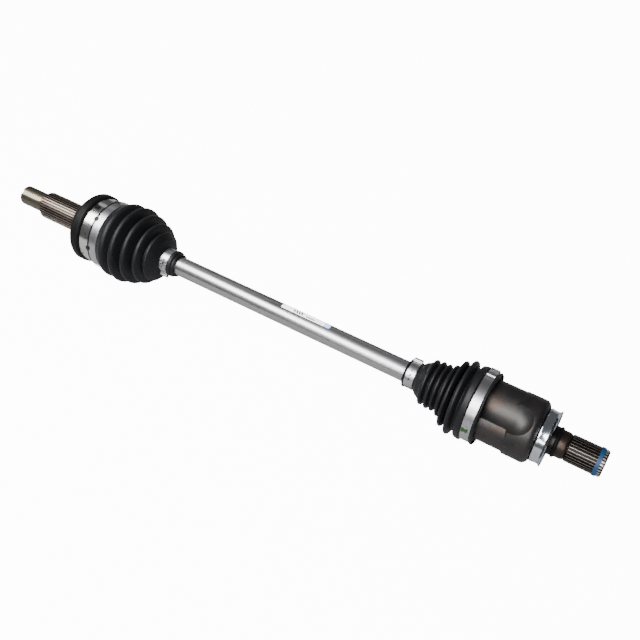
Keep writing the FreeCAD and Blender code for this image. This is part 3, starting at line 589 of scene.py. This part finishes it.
# %% Inner finishes
def ground_steel(name, dark, pale, roughness):
    finish = Finish(name, Metallic=1.0)
    x, y, z, _ = finish.axes()
    cloud = finish.noise(finish.vector(x, y, z), 0.25)
    finish.set(Base_Color=finish.mix(cloud, dark, pale), Roughness=roughness + cloud * 0.08)
    return finish.bump(finish.noise(finish.vector(x, y, z), 4.0), 0.004)


GROUND = ground_steel("ground_steel", (0.50, 0.50, 0.51), (0.62, 0.62, 0.63), 0.16)
SPRING = ground_steel("spring_steel", (0.06, 0.06, 0.065), (0.12, 0.12, 0.125), 0.38)
for name, slot in slots.items():
    if slot in ("bearing_steel", "spring_steel"):
        smooth_copy(name, GROUND if slot == "bearing_steel" else SPRING)
print("finished inner pieces", sum(slot in ("bearing_steel", "spring_steel") for slot in slots.values()))


# %% [markdown]
# ## The label
# A film wrapped on the bar. The CAD film reaches further down the front than the white band
# does, so its lower part is left clear here and shows the steel. Its print is left generic:
# slanted blocks and short bars in place of words, with a pale blue end. The band also gives
# off some light of its own, so that it reads white under this light.

# %% Label finish
LABEL_TURN = 0.2269


def label_film():
    finish = Finish("label_film", Coat_Weight=0.3, Coat_Roughness=0.15, Emission_Strength=2.2)
    x, y, z, _ = finish.axes()
    low, high, _ = span("shaft_label")
    across = (y.arctan2(z) - LABEL_TURN) * BAR_RADIUS
    along, length = x - low, high - low
    slant = along + across * 0.5
    blocks = ((slant / 3.1).fraction() < 0.6) * along.between(14.5, 27, 0.1) * across.between(-1.9, 3.6, 0.2)
    chips = finish.noise(finish.vector(along * 0.9, across * 0.9, 3.0), 1.0, detail=0.0) > 0.30
    words = finish.noise(finish.vector(along * 0.8, 0.0, 7.0), 1.0, detail=0.0) > 0.30
    row = across.between(-1.7, -0.2, 0.2) * words
    small_print = row * along.between(31, 42, 0.2)
    faint_print = row * along.between(42, 52, 0.2) * 0.4
    ink = (blocks * chips).maximum(small_print).maximum(faint_print)
    colour = finish.mix(along.between(length - 7.5, length + 1, 0.3), (0.94, 0.94, 0.94), (0.34, 0.52, 0.84))
    colour = finish.mix(ink, colour, (0.005, 0.005, 0.007))
    finish.set(Base_Color=colour, Emission_Color=colour, Roughness=0.34 + ink * 0.1,
               Alpha=across.rises(-2.9, -2.6))
    return finish


smooth_copy("shaft_label", label_film())
print("finish: label, turned by", round(math.degrees(LABEL_TURN), 1), "degrees")

# %% [markdown]
# ## Moulded boots
# A boot is a solid of revolution. Its outline is a zigzag whose corners are rounded: wide
# rounds at the crests, tight ones in the creases, as a blow-moulding tool has. The wall is an
# offset of the same line, so its thickness stays about the same round every fold at rest.

# %% Outline helpers
def rounded(corners, step_degrees=9.0):
    """Rounds each corner (x, radius, round) of an open line. A fold's corner is first moved out
    along its bisector by what a full round takes away. Where the slopes beside it are too short
    for the full round, the fold ends up to 2.6 mm outside its stated point."""
    target = np.array([corner[:2] for corner in corners], float)
    rounds = [corner[2] for corner in corners]
    points = target.copy()
    inner = range(1, len(points) - 1)

    def bisector(i):
        before = points[i - 1] - points[i]
        after = points[i + 1] - points[i]
        before, after = before / np.linalg.norm(before), after / np.linalg.norm(after)
        half = math.acos(np.clip(before @ after, -1, 1)) / 2
        return before, after, half

    for _ in range(6):
        moved = points.copy()
        for i in inner:
            before, after, half = bisector(i)
            middle = before + after
            if np.linalg.norm(middle) > 1e-6 and half < math.radians(60):
                middle /= np.linalg.norm(middle)
                moved[i] = target[i] - middle * rounds[i] * (1 / math.sin(half) - 1)
        points = moved
    line = [points[0]]
    for i in inner:
        before, after, half = bisector(i)
        tangent = min(rounds[i] / math.tan(half), np.linalg.norm(points[i - 1] - points[i]) * 0.49,
                      np.linalg.norm(points[i + 1] - points[i]) * 0.49)
        turn = math.pi - 2 * half
        if tangent < 1e-3 or turn < 1e-3:
            line.append(points[i])
            continue
        radius = tangent * math.tan(half)
        centre = points[i] + (before + after) / np.linalg.norm(before + after) * radius / math.sin(half)
        first, last = points[i] + before * tangent - centre, points[i] + after * tangent - centre
        steps = max(2, round(math.degrees(turn) / step_degrees))
        for step in range(steps + 1):
            share = step / steps
            if math.sin(turn) > 1e-3:
                arm = first * math.sin((1 - share) * turn) + last * math.sin(share * turn)
                line.append(centre + arm / math.sin(turn))
            else:
                line.append(centre + first * (1 - share) + last * share)
    line.append(points[-1])
    return np.array(line)


def offset(line, wall):
    """The line moved sideways by the wall, towards the axis for a line that runs along +X."""
    ahead = np.gradient(line, axis=0)
    ahead /= np.linalg.norm(ahead, axis=1)[:, None]
    return line + np.stack([ahead[:, 1], -ahead[:, 0]], axis=1) * wall


def revolve(name, outline, segments=144):
    """A closed outline of (x, radius) points turned round the axis."""
    count = len(outline)
    points = []
    for step in range(segments):
        angle = 2 * math.pi * step / segments
        points += [(x, -r * math.sin(angle), r * math.cos(angle)) for x, r in outline]
    faces = []
    for step in range(segments):
        here, beyond = step * count, (step + 1) % segments * count
        faces += [(here + i, here + (i + 1) % count, beyond + (i + 1) % count, beyond + i)
                  for i in range(count)]
    obj = mesh_object(name, points, faces)
    signed = sum((outline[i][0] * outline[(i + 1) % count][1] - outline[(i + 1) % count][0] * outline[i][1])
                 for i in range(count))
    if signed > 0:
        obj.data.flip_normals()
    return obj


NECK_GAP = 0.12


def shell(name, corners, wall):
    """A boot or a part of one: the wall between an outline and its offset."""
    outer = rounded(corners)
    inner = offset(outer, wall)
    inner[:, 1] = np.maximum(inner[:, 1], BAR_RADIUS + NECK_GAP)
    return revolve(name, np.concatenate([outer, inner[::-1]]))


print("helpers: outlines for the soft pieces")

# %% [markdown]
# ### The outboard boot
# Four big rolls shrink towards the bar, then a smooth flare runs down to the neck. At the
# joint's full angle the bar still cuts into the inner side of these rolls.

# %% Outboard boot
OUT_WALL = 2.0
OUT_BEND_START_X, OUT_BEND_STOP_X = 118.0, 48.5
OUT_SEAT = 40.45
NECK_RADIUS = 14.2
outboard_corners = [
    (out_boot_x, 41.2, 0), (out_clamp_x - 0.1, 41.2, 0.3), (out_clamp_x, OUT_SEAT, 0.2),
    (out_clamp_stop_x, OUT_SEAT, 0.2), (out_clamp_stop_x + 0.1, 41.2, 0.3), (50.0, 42.0, 2.0),
    (58.0, 45.0, 6.2), (65.3, 36.8, 0.6), (72.4, 44.0, 5.4), (79.7, 34.2, 0.6),
    (86.7, 40.5, 5.0), (93.7, 29.4, 0.7), (100.0, 35.75, 4.2), (106.0, 27.0, 0.6), (109.4, 29.6, 3.0),
    (115.6, 24.0, 7.0), (118.0, 16.4, 1.2),
    (out_small_x - 0.6, 15.2, 0.5), (out_small_x - 0.1, NECK_RADIUS, 0.3),
    (out_small_stop_x, NECK_RADIUS, 0.2), (out_small_stop_x + 0.4, 15.5, 0.6), (134.2, 15.5, 1.2),
    (135.4, 13.6, 0.8), (out_neck_x, 13.4, 0.5),
]
outboard_boot = wear(shell("boot_outboard", outboard_corners, OUT_WALL), BOOT)
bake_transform(outboard_boot, "shaft", "outboard_race", start=(OUT_BEND_START_X * MM, 0, 0),
         end=(OUT_BEND_STOP_X * MM, 0, 0))
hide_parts("outboard_boot")
print("outboard boot faces", len(outboard_boot.data.polygons))

# %% [markdown]
# ### The inboard boot
# A plain sleeve, four small folds that let the joint tilt, two large ones that let it plunge,
# and a shoulder that hides the round adapter. It is made in two pieces that meet in a fold,
# because the first follows the bar and the tilting rings, and the second the rings and the
# sliding housing. At full tilt the bar still cuts into the inner side of the small folds.

# %% Inboard boot
IN_WALL = 1.5
BEND_START_X, MEETING_X, STRETCH_STOP_X = 460.0, 491.2, 510.7
IN_SEAT = 36.9
small_half = [
    (in_neck_x, 13.4, 0.5), (in_small_x - 1.4, 13.6, 0.6), (in_small_x - 0.4, 15.2, 0.4),
    (in_small_x, NECK_RADIUS, 0.2), (in_small_stop_x, NECK_RADIUS, 0.2), (in_small_stop_x + 1.2, 15.0, 0.8),
    (451.2, 18.2, 1.6), (455.6, 20.4, 1.2), (459.3, 24.6, 2.2), (462.8, 20.2, 0.5), (466.3, 24.75, 2.3),
    (469.4, 20.4, 0.5), (472.5, 25.05, 2.2), (476.1, 20.9, 0.5), (479.9, 27.3, 2.5), (483.6, 23.6, 0.6),
    (486.8, 33.8, 2.6), (MEETING_X, 28.6, 0),
]
large_half = [
    (MEETING_X, 28.6, 0), (495.6, 38.8, 3.0), (500.6, 33.4, 0.8),
    (504.0, 38.7, 2.6), (509.8, 39.6, 0.9), (in_clamp_x - 0.5, 38.6, 0.3), (in_clamp_x - 0.1, IN_SEAT, 0.3),
    (in_clamp_stop_x + 0.1, IN_SEAT, 0.3), (in_clamp_stop_x + 0.5, 38.2, 0.3), (in_boot_x - 1.6, 39.0, 0.8),
    (in_boot_x, 37.6, 0.5),
]
boot_near_bar = wear(shell("boot_inboard_small_folds", small_half, IN_WALL), BOOT)
boot_near_housing = wear(shell("boot_inboard_large_folds", large_half, IN_WALL), BOOT)
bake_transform(boot_near_bar, "shaft", "ring_1", start=(BEND_START_X * MM, 0, 0),
         end=(MEETING_X * MM, 0, 0))
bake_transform(boot_near_housing, "ring_1", "inboard_housing", start=(MEETING_X * MM, 0, 0),
         end=(STRETCH_STOP_X * MM, 0, 0))
for piece in (boot_near_bar, boot_near_housing):
    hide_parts("inboard_boot")
print("inboard boot, its halves meet at", MEETING_X)

# %% [markdown]
# ## Strip clamps
# A clamp is thin stainless strip closed into a ring. Its outer layer is bent up into an ear
# that pliers pinch to draw it tight, and laps over the inner layer. One function bends a strip
# along any path in the plane of the ring.

# %% Bend a strip along a path
def strip(name, path, start_x, width, thickness, closed):
    """Sweeps a flat section with eased edges along (across, up) points square to the axis."""
    path = np.array(path, float)
    ahead = np.roll(path, -1, 0) - np.roll(path, 1, 0) if closed else np.gradient(path, axis=0)
    ahead /= np.linalg.norm(ahead, axis=1)[:, None]
    outward = np.stack([-ahead[:, 1], ahead[:, 0]], axis=1)
    ease = thickness * 0.3
    section = [(0, ease), (0, thickness - ease), (ease, thickness), (width - ease, thickness),
               (width, thickness - ease), (width, ease), (width - ease, 0), (ease, 0)]
    points = []
    for spot, out in zip(path, outward):
        points += [(start_x + along, *(spot + out * height)) for along, height in section]
    count, rings = len(section), len(path)
    faces = []
    for i in range(rings if closed else rings - 1):
        here, beyond = i * count, (i + 1) % rings * count
        faces += [(here + j, here + (j + 1) % count, beyond + (j + 1) % count, beyond + j)
                  for j in range(count)]
    if not closed:
        faces += [tuple(range(count))[::-1], tuple((rings - 1) * count + j for j in range(count))]
    obj = mesh_object(name, points, faces)
    obj.data.set_sharp_from_angle(angle=math.radians(35))
    return obj


def circle_path(radius, start_degrees, stop_degrees, steps):
    """Points round the axis; the angle runs from +Z towards -Y, seen as (y, z)."""
    angles = np.radians(np.linspace(start_degrees, stop_degrees, steps))
    return [(-radius * math.sin(a), radius * math.cos(a)) for a in angles]


print("helper: a strip bent along a path")

# %% Clamp with its ear
EAR_FOOT = 3.4


def ear_path(radius, turn, lap, rise):
    """The outer layer: it laps along the ring, climbs into the pinched ear and laps on."""
    arc_before = circle_path(radius, turn + lap, turn + math.degrees(EAR_FOOT / radius), 14)
    arc_after = circle_path(radius, turn - math.degrees(EAR_FOOT / radius), turn - lap, 14)
    ear = [(EAR_FOOT, 0.0, 0), (2.0, 0.1, 0.7), (1.25, 1.5, 1.2),
           (2.3, rise - 0.6, 1.3), (0.0, rise + 0.5, 2.2), (-2.3, rise - 0.6, 1.3),
           (-1.25, 1.5, 1.2), (-2.0, 0.1, 0.7), (-EAR_FOOT, 0.0, 0)]
    angle = math.radians(turn)
    side, out = np.array((-math.cos(angle), -math.sin(angle))), np.array((-math.sin(angle), math.cos(angle)))
    bent = [out * radius + side * across + out * up for across, up in rounded_flat(ear)]
    return arc_before + [tuple(point) for point in bent[1:-1]] + arc_after


def rounded_flat(corners):
    """Rounds a small bent outline with a three-step corner cut, which is enough for sheet steel."""
    line = np.array([corner[:2] for corner in corners], float)
    for _ in range(3):
        ahead, behind = line[1:] * 0.25 + line[:-1] * 0.75, line[1:] * 0.75 + line[:-1] * 0.25
        line = np.concatenate([line[:1], np.stack([ahead, behind], 1).reshape(-1, 2), line[-1:]])
    return line


def strip_clamp(name, node, inner_radius, turn, lap, body, thickness, rise):
    """A ring and the lapped layer with the ear; both stand for the CAD clamp."""
    start_x, stop_x, _ = span(node)
    width = stop_x - start_x
    ring = strip(name + "_band", circle_path(inner_radius, 360, 0, 181)[:-1], start_x, width, thickness, True)
    layer = strip(name + "_ear", ear_path(inner_radius + thickness + 0.03, turn, lap, rise), start_x + 0.25,
                  width - 0.5, thickness, False)
    for piece in (ring, layer):
        wear(piece, STRIP)
        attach(piece, body)
        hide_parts(node)
    return ring, layer


CLAMPS = [
    # name, CAD node, inner radius, ear's turn, lap, body, thickness, ear's rise
    ("clamp_outboard_large", "outboard_large_clamp", OUT_SEAT, 143, 30, "outboard_race", 0.8, 2.0),
    ("clamp_outboard_small", "outboard_small_clamp", NECK_RADIUS, 127, 70, "shaft", 0.6, 3.1),
    ("clamp_inboard_small", "inboard_small_clamp", NECK_RADIUS, -33, 70, "shaft", 0.6, 3.1),
    ("clamp_inboard_large", "inboard_large_clamp", IN_SEAT, -50, 30, "inboard_housing", 0.8, 1.5),
]
for name, node, seat, turn, lap, body, thickness, rise in CLAMPS:
    strip_clamp(name, node, seat + 0.05, turn, lap, body, thickness, rise)
print("clamps", [row[0] for row in CLAMPS])

# %% [markdown]
# ## Rings of small lugs
# The boot's big end has seven lugs that show past its clamp, and the neck clamps have rows of
# punched windows. Both are one shape repeated round the axis, so one Geometry Nodes tree makes
# them: points on a circle, a round lug on each, realised into one mesh.

# %% The tree
def lug_ring_tree():
    tree = bpy.data.node_groups.new("lug_ring", "GeometryNodeTree")
    kinds = {"Count": "Int", "Step": "Float", "First turn": "Float", "X": "Float", "Radius": "Float",
             "Lug radius": "Float", "Lug height": "Float", "Finish": "Material"}
    for label, kind in kinds.items():
        tree.interface.new_socket(label, in_out="INPUT", socket_type="NodeSocket" + kind)
    tree.interface.new_socket("Geometry", in_out="OUTPUT", socket_type="NodeSocketGeometry")
    given = tree.nodes.new("NodeGroupInput").outputs

    def add(kind, output=0, settings=(), **sockets):
        node = tree.nodes.new(kind)
        for key, value in settings:
            setattr(node, key, value)
        for key, socket in sockets.items():
            index = int(key[1:]) if key[1:].isdigit() else key.replace("_", " ")
            if isinstance(socket, float):
                node.inputs[index].default_value = socket
            else:
                tree.links.new(socket, node.inputs[index])
        return node.outputs[output]

    def maths(operation, *terms):
        return add("ShaderNodeMath", 0, [("operation", operation)],
                   **{f"i{i}": term for i, term in enumerate(terms)})

    turn = maths("ADD", maths("MULTIPLY", add("GeometryNodeInputIndex"), given["Step"]), given["First turn"])
    across = maths("MULTIPLY", maths("MULTIPLY", maths("SINE", turn), given["Radius"]), -1.0)
    above = maths("MULTIPLY", maths("COSINE", turn), given["Radius"])
    place = add("ShaderNodeCombineXYZ", i0=given["X"], i1=across, i2=above)
    points = add("GeometryNodePoints", Count=given["Count"], Position=place)
    lug = add("GeometryNodeMeshCylinder", Radius=given["Lug radius"], Depth=given["Lug height"])
    spread = add("GeometryNodeInstanceOnPoints", Points=points, Instance=lug,
                 Rotation=add("ShaderNodeCombineXYZ", i0=turn))
    whole = add("GeometryNodeRealizeInstances", Geometry=spread)
    painted = add("GeometryNodeSetMaterial", Geometry=whole, Material=given["Finish"])
    tree.links.new(painted, tree.nodes.new("NodeGroupOutput").inputs[0])
    return tree


LUG_RING = lug_ring_tree()
print("tree", LUG_RING.name, len(LUG_RING.nodes), "nodes")


# %% Rings of lugs
def lug_ring(name, finish, body, slot, **inputs):
    """One ring of lugs as a plain mesh on a body; sizes are in millimetres and degrees."""
    seed = mesh_object(name + "_seed", [(0, 0, 0)], [])
    modifier = seed.modifiers.new("lugs", "NODES")
    modifier.node_group = LUG_RING
    values = {label.replace("_", " "): value for label, value in inputs.items()}
    for item in LUG_RING.interface.items_tree:
        if item.in_out == "INPUT" and item.name in values:
            modifier[item.identifier] = values[item.name]
        elif item.name == "Finish":
            modifier[item.identifier] = finish.material
    graph = bpy.context.evaluated_depsgraph_get()
    mesh = bpy.data.meshes.new_from_object(seed.evaluated_get(graph))
    seed.modifiers.clear()
    seed.data = mesh
    seed.name = name
    mesh.set_sharp_from_angle(angle=math.radians(35))
    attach(seed, body)
    print(name, len(mesh.polygons), "faces")
    return seed


lug_ring("boot_lugs", BOOT, "outboard_race", "boot_rubber", Count=7, Step=math.tau / 7,
         First_turn=math.radians(-27.6), X=(out_boot_x + 0.3) * MM, Radius=40.7 * MM,
         Lug_radius=3.0 * MM, Lug_height=1.8 * MM)
for name, x, first in (("outboard", out_small_x, 40.0), ("inboard", in_small_x, 24.0)):
    lug_ring(f"clamp_windows_{name}", SPRING, "shaft", "spring_steel", Count=3, Step=math.radians(17),
             First_turn=math.radians(first), X=(x + 5.0) * MM, Radius=(NECK_RADIUS + 1.28) * MM,
             Lug_radius=1.0 * MM, Lug_height=0.1 * MM)
